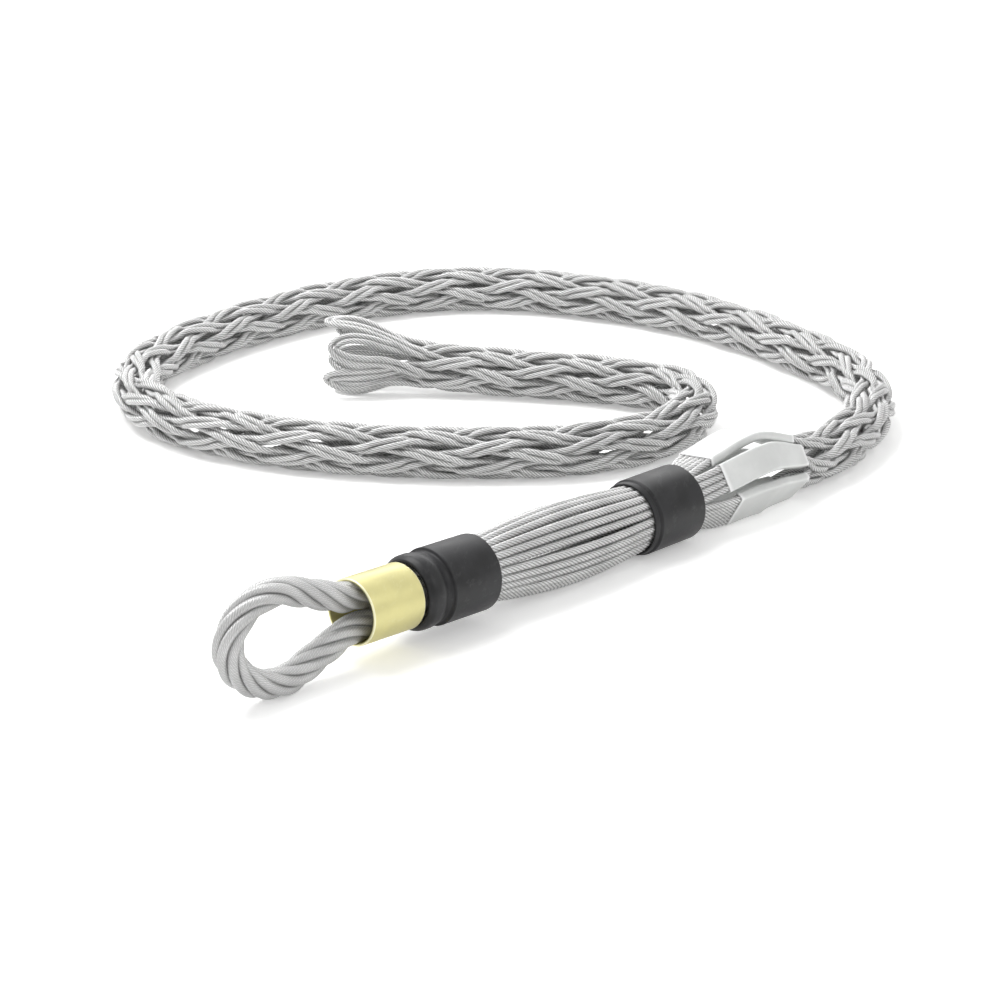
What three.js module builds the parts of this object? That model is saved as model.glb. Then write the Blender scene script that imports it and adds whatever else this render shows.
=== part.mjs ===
// Cable pulling grip: a rope eye in a ferrule, a ring of thin wire ropes between two rubber
// collars, five flat clips, and a long woven sock that is looped back at its open tail.
// Millimetres, +Z up. The grip lies on Z = 0, with the origin under the middle of its box.
// u is the distance along the grip, from the ferrule's front rim towards the tail.

import * as THREE from 'three';

// Place and attitude of the straight head
const HEAD_START = [-58.7, -236];
const HEAD_HEADING = 46;
const FRONT_PITCH = 1.9;
const FRONT_LIFT = 2.9;

// Thin wire ropes
const ROPE_DIAMETER = 3.0;
const ROPE_COUNT = 24;
const ROPE_RING_CLEARANCE = 0.22;
const ROPE_SIDES = 6;
const BUNDLE_BULGE = 4.4;
const BUNDLE_STEPS = 9;

// Eye rope: six strands laid up round a core
const STRAND_COUNT = 6;
const STRAND_DIAMETER = 3.6;
const STRAND_CLEARANCE = 0.7;
const STRAND_LAY = 76;
const STRAND_STEP = 6.3;
const LEG_CLEARANCE = 0.5;
const EYE_LENGTH = 63.7;
const EYE_HALF_HEIGHT = 17.7;
const EYE_ROLL = 8;

// Ferrule, collars and crimp core
const FERRULE_LENGTH = 28;
const FERRULE_WALL = 1.2;
const FIT_GAP = 0.3;
const COLLAR_SIDES = 32;
const FRONT_COLLAR_WALL = 2.4;
const REAR_COLLAR_WALL = 3.1;
const NOSE_GAP = 2;
const NOSE_LENGTH = 14;
const NOSE_WALL = 1.3;
const NOSE_CLEARANCE = 0.5;
const LEG_SEAT = 6;
const FRONT_BARREL_LENGTH = 26;
const CRIMP_FLANGE = 9;
const CRIMP_SPIGOT = 16;
const BUNDLE_LENGTH = 97;
const REAR_COLLAR_LENGTH = 32;
const REAR_MOUTH_DEPTH = 9;
const REAR_MOUTH_FLARE = 1.9;
const COLLAR_CHAMFER = 1.2;

// Clips of folded sheet, each round a flat row of ropes: a woven pair takes two of the ropes
const CLIPS = [
  { name: 'clip_top', pairs: 3 },
  { name: 'clip_front', pairs: 2 },
  { name: 'clip_near', pairs: 3 },
  { name: 'clip_bottom', pairs: 2 },
  { name: 'clip_far', pairs: 2 },
];
const FIRST_CLIP_ANGLE = 72;
const CLIP_FOLDS = 2.5;
const CLIP_WALL = 0.5;
const CLIP_CLEARANCE = 0.2;
const CLIP_SPACING = 0.3;
const CLIP_GAP = 18;
const CLIP_TO_BEND = 31;
const CLIP_AFTER_BEND = 28;
const CLIP_BEND_RISE = 2.4;
const ROW_PITCH = 3.04;

// Woven sock: rope pairs side by side, half of them wound each way
const SOCK_RADIUS = 9.6;
const WEAVE_DEPTH = 1.7;
const PAIR_WIDTH = 4.1;
const PAIR_THICKNESS = 3.0;
const PAIRS_EACH_WAY = 6;
const CROSSING_SPACING = 23.7;
const PAIR_PITCH_IN_CLIP = 5.1;

// Tail loops: how far each reaches past the last crossing, and how far it flares
const LOOP_REACH = [41, 37, 40, 38, 42, 38];
const LOOP_FLARE = 9.2;

// Route of the sock's centreline on the surface, chosen by eye: [x, y, extra height]
const SOCK_ROUTE = [
  [157, -9.5, 0], [172, 16.5, 0], [182, 42.5, 0], [186, 70.5, 0], [184, 97.5, 0], [177, 123.5, 0],
  [163, 149.5, 0], [137, 190.5, 0], [97, 232.5, 0], [52, 259.5, 0], [6, 274.5, 0], [-39, 272.5, 0],
  [-84, 252.5, 0], [-126, 216.5, 0], [-162, 170.5, 0], [-183, 124.5, 0], [-185, 90.5, 0], [-173, 56.5, 0],
  [-149, 28.5, 0], [-109, 4.5, 0], [-65, -8.5, 0], [-13, -13.5, 0], [41, -7.5, 0], [76, 13.5, 0],
  [96, 46.5, 0], [93, 78.5, 0], [63, 98.5, 0], [17, 111.5, 0], [-27, 117.5, 2], [-65, 120.5, 6.5],
  [-94, 122.5, 8.5],
];

const FINISHES = {
  rope: { color: 0x8f908f, roughness: 0.42, metalness: 0.85 },
  ferrule: { color: 0xd8c878, roughness: 0.32, metalness: 0.9 },
  rubber: { color: 0x2b2c2d, roughness: 0.55, metalness: 0.0 },
  clip: { color: 0xc9cac8, roughness: 0.35, metalness: 0.9 },
  core: { color: 0x7d7f80, roughness: 0.5, metalness: 0.8 },
};

// Sizes that follow from the ones above
const radians = THREE.MathUtils.degToRad;
const ropeRadius = ROPE_DIAMETER / 2;
const ropeRing = (ROPE_DIAMETER + ROPE_RING_CLEARANCE) / (2 * Math.sin(Math.PI / ROPE_COUNT));
const collarBore = ropeRing + ropeRadius + FIT_GAP;
const frontCollarRadius = collarBore + FRONT_COLLAR_WALL;
const rearCollarRadius = collarBore + REAR_COLLAR_WALL;
const strandRing = STRAND_DIAMETER + STRAND_CLEARANCE;
const eyeRopeRadius = strandRing + STRAND_DIAMETER / 2;
const legOffset = eyeRopeRadius + LEG_CLEARANCE / 2;
const legReach = legOffset + eyeRopeRadius;
const ferruleBore = legReach + FIT_GAP;
const noseStart = FERRULE_LENGTH + NOSE_GAP;
const noseBore = legReach + NOSE_CLEARANCE;
const legEnd = noseStart + LEG_SEAT;
const barrelStart = noseStart + NOSE_LENGTH;
const frontCollarEnd = barrelStart + FRONT_BARREL_LENGTH;
const crimpStart = legEnd + FIT_GAP;
const crimpEnd = crimpStart + CRIMP_FLANGE;
const rearCollarStart = frontCollarEnd + BUNDLE_LENGTH;
const rearCollarEnd = rearCollarStart + REAR_COLLAR_LENGTH;
const clipStart = rearCollarEnd + CLIP_GAP;
const clipBend = clipStart + CLIP_TO_BEND;
const clipEnd = clipBend + CLIP_AFTER_BEND;
const firstCrossing = clipEnd + CROSSING_SPACING / 2;
const pairAngle = 180 / PAIRS_EACH_WAY;
const sockOuter = SOCK_RADIUS + WEAVE_DEPTH + PAIR_THICKNESS / 2;

const clipCavityHalfHeight = Math.max(ropeRadius, PAIR_THICKNESS / 2) + CLIP_CLEARANCE;
const clipHalfHeight = clipCavityHalfHeight + CLIP_WALL;

// Half widths of a clip's cavity: round its row of ropes, and where these gather into pairs
const rowHalfWidth = (pairs) => ((2 * pairs - 1) * ROW_PITCH + ROPE_DIAMETER) / 2 + CLIP_CLEARANCE;
const gatheredHalfWidth = (pairs) => ((pairs - 1) * PAIR_PITCH_IN_CLIP + PAIR_WIDTH) / 2
  + CLIP_CLEARANCE;

// Each clip takes a share of the way round that goes with its pairs and its two folds
const clipShare = (pairs) => 360 * (pairs + CLIP_FOLDS)
  / (2 * PAIRS_EACH_WAY + CLIPS.length * CLIP_FOLDS);
const sumOf = (clips, size) => clips.reduce((sum, { pairs }) => sum + size(pairs), 0);
const clipAngle = (index) => FIRST_CLIP_ANGLE + sumOf(CLIPS.slice(0, index), clipShare)
  + (clipShare(CLIPS[index].pairs) - clipShare(CLIPS[0].pairs)) / 2;
const firstPlaceOf = (index) => sumOf(CLIPS.slice(0, index), (pairs) => pairs);

// How far out the clips have to sit so that each one clears its neighbours
const clipRise = (halfWidth) => clipHalfHeight + Math.max(...CLIPS.map(({ pairs }) =>
  (halfWidth(pairs) + CLIP_WALL + CLIP_SPACING / 2) / Math.tan(radians(clipShare(pairs) / 2))));
const clipStations = [
  { u: clipStart, halfWidth: rowHalfWidth, rise: clipRise(rowHalfWidth) },
  { u: clipBend, halfWidth: rowHalfWidth, rise: clipRise(rowHalfWidth) + CLIP_BEND_RISE },
  { u: clipEnd, halfWidth: gatheredHalfWidth, rise: clipRise(gatheredHalfWidth) },
];

// The axis of the grip: straight through the head, then along the sock's route
const heading = radians(HEAD_HEADING);
const forward = new THREE.Vector3(Math.cos(heading), Math.sin(heading), 0);
const up = new THREE.Vector3(0, 0, 1);

// The head rests on its rear collar, and the bundle rises from there to the pitched front collar
const frontSlope = -Math.tan(radians(FRONT_PITCH));
const frontHeight = rearCollarRadius + FRONT_LIFT;

function headHeight(u) {
  if (u <= frontCollarEnd) return frontHeight + (u - frontCollarEnd) * frontSlope;
  if (u >= rearCollarStart) return rearCollarRadius;
  const t = (u - frontCollarEnd) / BUNDLE_LENGTH;
  const fall = FRONT_LIFT * (2 * t ** 3 - 3 * t ** 2 + 1);
  return rearCollarRadius + fall + frontSlope * BUNDLE_LENGTH * (t ** 3 - 2 * t ** 2 + t);
}

function headPoint(u, height = headHeight(u)) {
  return new THREE.Vector3(HEAD_START[0], HEAD_START[1], height).addScaledVector(forward, u);
}

// The height at which the lowest corner of the clips just clears the surface
function clipRestHeight({ halfWidth, rise }) {
  const depths = CLIPS.flatMap(({ pairs }, index) => [-1, 1].map((end) => {
    const angle = radians(clipAngle(index));
    return -(rise + clipHalfHeight) * Math.sin(angle)
      - end * (halfWidth(pairs) + CLIP_WALL) * Math.cos(angle);
  }));
  return Math.max(...depths) + FIT_GAP;
}

const sockAxis = new THREE.CatmullRomCurve3([
  headPoint(rearCollarEnd),
  ...clipStations.map((clip) => headPoint(clip.u, clipRestHeight(clip))),
  ...SOCK_ROUTE.map(([x, y, lift]) => new THREE.Vector3(x, y, sockOuter + lift)),
], false, 'centripetal');
sockAxis.arcLengthDivisions = 3000;
const sockAxisLength = sockAxis.getLength();

const wovenLength = rearCollarEnd + sockAxisLength - firstCrossing - Math.max(...LOOP_REACH);
const lastCrossing = Math.floor(wovenLength / CROSSING_SPACING);

// The axis point at u, with the directions to its left side, upwards and onwards
function axisFrame(u) {
  const along = Math.min((u - rearCollarEnd) / sockAxisLength, 1);
  const centre = along <= 0 ? headPoint(u) : sockAxis.getPointAt(along);
  const onward = along <= 0 ? headPoint(u + FIT_GAP).sub(headPoint(u - FIT_GAP)).normalize()
    : sockAxis.getTangentAt(along);
  const side = up.clone().cross(onward).normalize();
  const lift = onward.clone().cross(side);
  return { centre, side, lift, onward };
}

// A point at u with its outward and sideways directions; shift moves it along a flat row
function station(u, degrees, radius, shift = 0) {
  const { centre, side, lift, onward } = axisFrame(u);
  const angle = radians(degrees);
  const outward = side.multiplyScalar(Math.cos(angle)).addScaledVector(lift, Math.sin(angle));
  const sideways = onward.clone().cross(outward);
  const point = centre.addScaledVector(outward, radius).addScaledVector(sideways, shift);
  return { point, outward, sideways };
}

// A ring of corners round a point: offsets are [outward, sideways] distances
function ring({ point, outward, sideways }, offsets) {
  return offsets.map(([out, aside]) =>
    point.clone().addScaledVector(outward, out).addScaledVector(sideways, aside));
}

function roundSection(radius, sides, sidewaysStretch = 1) {
  return Array.from({ length: sides }, (_, i) => {
    const angle = (i + 0.5) * 2 * Math.PI / sides;
    return [radius * Math.cos(angle), radius * Math.sin(angle) * sidewaysStretch];
  });
}

function diamondSection(width, thickness) {
  return [[thickness / 2, 0], [0, width / 2], [-thickness / 2, 0], [0, -width / 2]];
}

function boxSection(halfWidth, halfHeight, corner) {
  return [
    [halfHeight, -halfWidth + corner], [halfHeight, halfWidth - corner],
    [halfHeight - corner, halfWidth], [-halfHeight + corner, halfWidth],
    [-halfHeight, halfWidth - corner], [-halfHeight, -halfWidth + corner],
    [-halfHeight + corner, -halfWidth], [halfHeight - corner, -halfWidth],
  ];
}

// Geometry from loops of points and the faces between them
function facesToGeometry(points, faces) {
  const geometry = new THREE.BufferGeometry();
  geometry.setAttribute('position',
    new THREE.Float32BufferAttribute(points.flatMap((p) => [p.x, p.y, p.z]), 3));
  geometry.setIndex(faces.flat());
  geometry.computeVertexNormals();
  return geometry;
}

function band(faces, first, second, count) {
  for (let i = 0; i < count; i += 1) {
    const next = (i + 1) % count;
    faces.push([first + i, first + next, second + next]);
    faces.push([first + i, second + next, second + i]);
  }
}

// A closed solid through a row of rings that run anticlockwise seen from its end
function loft(rings) {
  const count = rings[0].length;
  const faces = [];
  for (let k = 0; k + 1 < rings.length; k += 1) band(faces, k * count, (k + 1) * count, count);
  const last = (rings.length - 1) * count;
  for (let i = 1; i + 1 < count; i += 1) {
    faces.push([0, i + 1, i]);
    faces.push([last, last + i, last + i + 1]);
  }
  return facesToGeometry(rings.flat(), faces);
}

// An open-ended sleeve between outer and inner rings
function sleeve(outer, inner) {
  const count = outer[0].length;
  const innerBase = outer.length * count;
  const last = (outer.length - 1) * count;
  const faces = [];
  for (let k = 0; k + 1 < outer.length; k += 1) {
    band(faces, k * count, (k + 1) * count, count);
    band(faces, innerBase + (k + 1) * count, innerBase + k * count, count);
  }
  band(faces, innerBase, 0, count);
  band(faces, last, innerBase + last, count);
  return facesToGeometry([...outer, ...inner].flat(), faces);
}

// A turned shape about the head's axis, from [u, radius] corners, with a flat side underneath
function turned(corners, start) {
  const stretch = 1 / Math.cos(Math.PI / COLLAR_SIDES);
  const profile = corners.map(([u, radius]) => new THREE.Vector2(radius * stretch, u - start));
  const geometry = new THREE.LatheGeometry([...profile, profile[0].clone()],
    COLLAR_SIDES, Math.PI / COLLAR_SIDES);
  geometry.rotateZ(-Math.PI / 2);
  return geometry;
}

function addMesh(parent, name, geometry, finish) {
  const mesh = new THREE.Mesh(geometry, new THREE.MeshStandardMaterial(FINISHES[finish]));
  mesh.name = name;
  parent.add(mesh);
  return mesh;
}

// The grip's groups: the front one holds what is pitched with the front collar
const grip = new THREE.Group();
const rear = new THREE.Group();
rear.position.copy(headPoint(rearCollarEnd));
rear.rotation.z = heading;
grip.add(rear);
const front = new THREE.Group();
front.position.copy(headPoint(frontCollarEnd));
front.rotation.order = 'ZYX';
front.rotation.z = heading;
front.rotation.y = radians(FRONT_PITCH);
grip.add(front);

function makeFerrule() {
  const outer = ferruleBore + FERRULE_WALL;
  return turned([
    [0, ferruleBore], [0, outer], [FERRULE_LENGTH, outer], [FERRULE_LENGTH, ferruleBore],
  ], frontCollarEnd);
}

// The eye's outline in its own plane, from one leg end round the tip to the other
function eyeCurve() {
  const half = [
    [legEnd, legOffset], [FERRULE_LENGTH / 2, legOffset], [-2, legOffset + 0.5],
    [-0.29 * EYE_LENGTH, 0.69 * EYE_HALF_HEIGHT], [-0.58 * EYE_LENGTH, EYE_HALF_HEIGHT],
    [-0.81 * EYE_LENGTH, 0.86 * EYE_HALF_HEIGHT], [-0.955 * EYE_LENGTH, 0.44 * EYE_HALF_HEIGHT],
  ];
  const tip = [-EYE_LENGTH, 0];
  const outline = [...half, tip, ...half.map(([u, v]) => [u, -v]).reverse()];
  return new THREE.CatmullRomCurve3(
    outline.map(([u, v]) => new THREE.Vector3(u - frontCollarEnd, 0, v)), false, 'centripetal');
}

function makeEyeRopes(parent) {
  const curve = eyeCurve();
  const length = curve.getLength();
  const steps = Math.round(length / STRAND_STEP);
  const across = new THREE.Vector3(0, -1, 0);
  const roll = new THREE.Matrix4().makeRotationX(-radians(EYE_ROLL));
  const laid = (step, turn, distance) => {
    const point = curve.getPointAt(step / steps);
    const onward = curve.getTangentAt(step / steps);
    const inward = across.clone().cross(onward);
    const outward = inward.multiplyScalar(Math.cos(turn)).addScaledVector(across, Math.sin(turn));
    const sideways = onward.clone().cross(outward);
    return { point: point.addScaledVector(outward, distance), outward, sideways };
  };
  const layStretch = 1 / Math.cos(Math.atan(2 * Math.PI * strandRing / STRAND_LAY));
  const section = roundSection(STRAND_DIAMETER / 2, ROPE_SIDES, layStretch);
  for (let i = 0; i < STRAND_COUNT; i += 1) {
    const rings = [];
    for (let step = 0; step <= steps; step += 1) {
      const turn = 2 * Math.PI * (i / STRAND_COUNT + length * step / steps / STRAND_LAY);
      rings.push(ring(laid(step, turn, strandRing), section));
    }
    addMesh(parent, `eye_strand_${i + 1}`, loft(rings).applyMatrix4(roll), 'rope');
  }
  const coreRadius = (strandRing - STRAND_DIAMETER / 2) * Math.cos(Math.PI * STRAND_STEP / STRAND_LAY);
  const coreSection = roundSection(coreRadius - STRAND_CLEARANCE / 4, ROPE_SIDES);
  const coreRings = Array.from({ length: steps + 1 }, (_, step) => ring(laid(step, 0, 0), coreSection));
  addMesh(parent, 'eye_core', loft(coreRings).applyMatrix4(roll), 'core');
}

function makeFrontCollar() {
  const noseOuter = noseBore + NOSE_WALL;
  const shoulder = barrelStart - 2;
  return turned([
    [noseStart, noseBore],
    [noseStart, noseOuter - COLLAR_CHAMFER / 2],
    [noseStart + COLLAR_CHAMFER, noseOuter + COLLAR_CHAMFER / 2],
    [shoulder, noseOuter + COLLAR_CHAMFER],
    [barrelStart, frontCollarRadius - COLLAR_CHAMFER / 2],
    [barrelStart + COLLAR_CHAMFER, frontCollarRadius],
    [frontCollarEnd - COLLAR_CHAMFER, frontCollarRadius],
    [frontCollarEnd, frontCollarRadius - COLLAR_CHAMFER],
    [frontCollarEnd, collarBore],
    [crimpStart, collarBore],
    [crimpStart - 1, noseBore],
  ], frontCollarEnd);
}

// The crimp core: a flange that the eye's legs butt on, and a spigot inside the rope ring
function makeCrimpCore() {
  const flange = collarBore - FIT_GAP;
  const spigot = ropeRing - ropeRadius - FIT_GAP;
  return turned([[crimpStart, 0], [crimpStart, flange], [crimpEnd, flange], [crimpEnd, spigot],
    [crimpEnd + CRIMP_SPIGOT, spigot], [crimpEnd + CRIMP_SPIGOT, 0]], frontCollarEnd);
}

function makeRearCollar() {
  return turned([
    [rearCollarStart, collarBore + REAR_MOUTH_FLARE],
    [rearCollarStart, rearCollarRadius - COLLAR_CHAMFER / 2],
    [rearCollarStart + COLLAR_CHAMFER, rearCollarRadius],
    [rearCollarEnd - COLLAR_CHAMFER, rearCollarRadius],
    [rearCollarEnd, rearCollarRadius - COLLAR_CHAMFER],
    [rearCollarEnd, collarBore],
    [rearCollarStart + REAR_MOUTH_DEPTH, collarBore],
  ], rearCollarEnd);
}

// Half width and height above the axis, at u, of a clip with so many pairs
function clipAt(u, pairs) {
  const [first, bend, last] = clipStations;
  const [from, to] = u < bend.u ? [first, bend] : [bend, last];
  const share = (u - from.u) / (to.u - from.u);
  return {
    halfWidth: THREE.MathUtils.lerp(from.halfWidth(pairs), to.halfWidth(pairs), share),
    rise: THREE.MathUtils.lerp(from.rise, to.rise, share),
  };
}

function makeClip(index) {
  const outer = [];
  const inner = [];
  for (const { u, halfWidth, rise } of clipStations) {
    const place = station(u, clipAngle(index), rise);
    const width = halfWidth(CLIPS[index].pairs);
    outer.push(ring(place, boxSection(width + CLIP_WALL, clipHalfHeight, CLIP_WALL)));
    inner.push(ring(place, boxSection(width, clipCavityHalfHeight, CLIP_WALL / 4)));
  }
  return sleeve(outer, inner);
}

// The clip that holds a woven pair, counted round the grip, and its place from the middle there
function clipOfPair(place) {
  const index = CLIPS.findLastIndex((_, i) => firstPlaceOf(i) <= place);
  const { pairs } = CLIPS[index];
  return { index, pairs, fromMiddle: place - firstPlaceOf(index) - (pairs - 1) / 2 };
}

// The angle round the grip of a woven pair before the first crossing, or of a rope between two
const placeAngle = (place) => FIRST_CLIP_ANGLE + (place - (CLIPS[0].pairs - 1) / 2) * pairAngle;

// One lead rope: round the crimp core, out round the bulge, through the rear collar, into its clip
function makeLeadRope(number) {
  const place = (number - 0.5) / 2;
  const { index, pairs, fromMiddle } = clipOfPair(Math.round(place));
  const inRow = 2 * (place - Math.round(place) + fromMiddle);
  const ringAngle = placeAngle(place);
  const section = roundSection(ropeRadius, ROPE_SIDES);
  const bulgeEnd = rearCollarStart + REAR_MOUTH_DEPTH;
  const rings = [ring(station(crimpEnd + FIT_GAP, ringAngle, ropeRing), section)];
  for (let step = 0; step <= BUNDLE_STEPS; step += 1) {
    const share = step / BUNDLE_STEPS;
    const u = THREE.MathUtils.lerp(frontCollarEnd, bulgeEnd, share);
    const radius = ropeRing + BUNDLE_BULGE * Math.sin(Math.PI * share);
    rings.push(ring(station(u, ringAngle, radius), section));
  }
  rings.push(ring(station(rearCollarEnd, ringAngle, ropeRing), section));
  for (const u of [clipStart, clipBend - FIT_GAP / 2]) {
    const row = station(u, clipAngle(index), clipAt(u, pairs).rise, inRow * ROW_PITCH);
    rings.push(ring(row, section));
  }
  return loft(rings);
}

const pairSection = diamondSection(PAIR_WIDTH, PAIR_THICKNESS);

// One end of a woven pair, held in its clip: place counts the pairs round the grip
function pairInClip(place, u) {
  const { index, pairs, fromMiddle } = clipOfPair(place);
  const { halfWidth, rise } = clipAt(u, pairs);
  const pitch = u < clipEnd
    ? (halfWidth - CLIP_CLEARANCE - PAIR_WIDTH / 2) * 2 / (pairs - 1)
    : PAIR_PITCH_IN_CLIP;
  return station(u, clipAngle(index), rise, fromMiddle * pitch);
}

// Where the pair that starts at a place round the grip lies at a crossing; turn is +1 or -1
function pairAtCrossing(place, turn, crossing) {
  const over = (crossing % 2 === 0 ? 1 : -1) * turn;
  return station(firstCrossing + crossing * CROSSING_SPACING,
    placeAngle(place) + turn * pairAngle * (crossing + 0.5), SOCK_RADIUS + over * WEAVE_DEPTH);
}

function reversed({ point, outward, sideways }) {
  return { point, outward, sideways: sideways.clone().negate() };
}

// The loop that a pair makes past its last crossing, as [share of reach, share of turn, flare]
function tailLoop(index) {
  const u = firstCrossing + lastCrossing * CROSSING_SPACING;
  const start = placeAngle(2 * index) + (lastCrossing + 0.5) * pairAngle;
  const half = [[0.3, 0.19, 0.45], [0.58, 0.19, 0.9], [0.8, 0.23, 1], [0.945, 0.34, 0.9]];
  const stops = [...half, [1, 0.5, 0.84], ...half.map(([s, t, f]) => [s, 1 - t, f]).reverse()];
  const places = stops.map(([share, turn, flare]) => station(
    u + share * LOOP_REACH[index], start + turn * 2 * pairAngle,
    SOCK_RADIUS + flare * LOOP_FLARE));
  const path = new THREE.CatmullRomCurve3(places.map(({ point }) => point), false, 'centripetal');
  return places.map(({ point, outward }, i) => {
    const onward = path.getTangent(i / (places.length - 1));
    const sideways = onward.cross(outward).normalize();
    return { point, outward, sideways };
  });
}

// A woven pair runs down the sock one way round, loops back, and returns the other way round
function makeWovenPair(index) {
  const there = 2 * index;
  const back = (there + 2 * lastCrossing + 3) % (2 * PAIRS_EACH_WAY);
  const clipStops = [clipBend + FIT_GAP / 2, clipEnd];
  const crossings = Array.from({ length: lastCrossing + 1 }, (_, k) => k);
  const path = [
    ...clipStops.map((u) => pairInClip(there, u)),
    ...crossings.map((k) => pairAtCrossing(there, 1, k)),
    ...tailLoop(index),
    ...crossings.reverse().map((k) => reversed(pairAtCrossing(back, -1, k))),
    ...clipStops.reverse().map((u) => reversed(pairInClip(back, u))),
  ];
  return loft(path.map((place) => ring(place, pairSection)));
}

addMesh(front, 'ferrule', makeFerrule(), 'ferrule');
makeEyeRopes(front);
addMesh(front, 'front_collar', makeFrontCollar(), 'rubber');
addMesh(front, 'crimp_core', makeCrimpCore(), 'core');
addMesh(rear, 'rear_collar', makeRearCollar(), 'rubber');
CLIPS.forEach(({ name }, index) => addMesh(grip, name, makeClip(index), 'clip'));
for (let i = 0; i < ROPE_COUNT; i += 1) {
  const name = `lead_rope_${String(i + 1).padStart(2, '0')}`;
  addMesh(grip, name, makeLeadRope(i), 'rope');
}
for (let i = 0; i < PAIRS_EACH_WAY; i += 1) {
  addMesh(grip, `woven_pair_${i + 1}`, makeWovenPair(i), 'rope');
}

export default grip;
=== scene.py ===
"""Cable pulling grip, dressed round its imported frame.

A wire rope eye in a plated ferrule, two rubber collars on a bundle of thin ropes, five folded
clips, and a long woven sock that is looped back at its open tail. Sizes are in millimetres, and
meshes are made in metres, +Z up.
"""

import logging
import math
from collections.abc import Callable
from dataclasses import dataclass, field
from enum import Enum

import bpy
import numpy as np
from mathutils import Matrix, Vector


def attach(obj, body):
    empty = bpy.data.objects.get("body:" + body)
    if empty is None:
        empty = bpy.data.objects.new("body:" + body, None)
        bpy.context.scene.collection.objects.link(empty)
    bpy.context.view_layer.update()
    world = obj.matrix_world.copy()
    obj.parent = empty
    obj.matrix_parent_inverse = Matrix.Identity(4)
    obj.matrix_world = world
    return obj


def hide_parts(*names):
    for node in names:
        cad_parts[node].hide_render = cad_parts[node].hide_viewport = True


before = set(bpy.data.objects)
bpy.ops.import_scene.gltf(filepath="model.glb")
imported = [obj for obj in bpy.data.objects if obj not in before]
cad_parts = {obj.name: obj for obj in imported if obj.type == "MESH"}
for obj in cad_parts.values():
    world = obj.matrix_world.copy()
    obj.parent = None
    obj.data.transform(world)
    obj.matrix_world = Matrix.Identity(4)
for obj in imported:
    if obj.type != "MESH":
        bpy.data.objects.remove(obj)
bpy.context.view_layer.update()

MM = 0.001
ROOT = "root"
LOG = logging.getLogger("pulling_grip")
Points = np.ndarray
Tree = bpy.types.NodeTree
Socket = bpy.types.NodeSocket


class Slot(Enum):
    """The record's material slots."""

    THIN_ROPE = "thin_wire_rope"
    EYE_ROPE = "eye_wire_rope"
    CORE = "rope_core"
    CRIMP = "crimp_steel"
    PLATED = "yellow_plated_sleeve"
    RUBBER = "black_rubber"
    CLIP = "clip_sheet"


# Curves and the grip's axis


class SmoothPath:
    """A centripetal curve through given points, read by the distance along it."""

    def __init__(self, points: Points, steps: int = 80) -> None:
        """Samples the curve.

        Args:
            points: the points that the curve passes through, one a row.
            steps: how many samples each stretch between two points gets.
        """
        knots = np.vstack([2 * points[0] - points[1], points, 2 * points[-1] - points[-2]])
        gaps = np.linalg.norm(np.diff(knots, axis=0), axis=1)[:, None] ** 0.5
        share = (np.arange(steps) / steps)[:, None]
        stretches = [self._stretch(knots[i:i + 4], gaps[i:i + 3], share)
                     for i in range(len(points) - 1)]
        self.samples = np.vstack(stretches + [points[-1:]])
        spans = np.linalg.norm(np.diff(self.samples, axis=0), axis=1)
        self.distances = np.concatenate([[0.0], np.cumsum(spans)])
        self.length = float(self.distances[-1])

    @staticmethod
    def _stretch(knots: Points, gaps: Points, share: Points) -> Points:
        """Samples the stretch between the second and third of four knots.

        Args:
            knots: the four points.
            gaps: the curve's own steps between them.
            share: how far along the stretch each sample lies.

        Returns:
            The samples.
        """
        before, start, end, after = knots
        first, middle, last = gaps
        leave = ((start - before) / first - (end - before) / (first + middle)
                 + (end - start) / middle) * middle
        arrive = ((end - start) / middle - (after - start) / (middle + last)
                  + (after - end) / last) * middle
        return (start + leave * share + (3 * (end - start) - 2 * leave - arrive) * share ** 2
                + (2 * (start - end) + leave + arrive) * share ** 3)

    def at(self, distance: Points) -> Points:
        """Returns the points at these distances along the curve."""
        return np.column_stack([np.interp(distance, self.distances, self.samples[:, i])
                                for i in range(3)])

    def heading_at(self, distance: Points, reach: float = 0.6) -> Points:
        """Finds the curve's directions.

        Args:
            distance: where along the curve, one value for each direction.
            reach: how far ahead and back the curve is read.

        Returns:
            The unit directions.
        """
        low = np.clip(distance - reach, 0, self.length)
        high = np.clip(distance + reach, 0, self.length)
        return unit(self.at(high) - self.at(low))

    def evenly(self, step: float) -> Points:
        """Returns points spaced evenly, about a step apart."""
        count = max(2, round(self.length / step) + 1)
        return self.at(np.linspace(0, self.length, count))


def unit(vectors: Points) -> Points:
    """Returns the vectors at length 1."""
    return vectors / np.linalg.norm(vectors, axis=-1, keepdims=True)


@dataclass(frozen=True)
class Stations:
    """Places round the axis, with their outward and sideways directions."""

    points: Points
    outward: Points
    sideways: Points

    def moved(self, out: Points | float, aside: Points | float) -> Points:
        """Moves the places.

        Args:
            out: how far outwards, for all or for each.
            aside: how far sideways, for all or for each.

        Returns:
            The moved points.
        """
        out = np.asarray(out, float).reshape(-1, 1)
        aside = np.asarray(aside, float).reshape(-1, 1)
        return self.points + self.outward * out + self.sideways * aside

    def twisted(self, degrees: float) -> "Stations":
        """Returns the same places with their directions turned about the axis' own way on."""
        cosine, sine = math.cos(math.radians(degrees)), math.sin(math.radians(degrees))
        return Stations(self.points, self.outward * cosine + self.sideways * sine,
                        self.sideways * cosine - self.outward * sine)


@dataclass(frozen=True)
class Clip:
    """One folded clip: its node, how many woven pairs it takes, and how it is set.

    Twist is how far it is turned about its own length, in degrees, and late is how much further
    on it starts, in millimetres.
    """

    node: str
    pairs: int
    twist: float = 0.0
    late: float = 0.0


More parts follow.
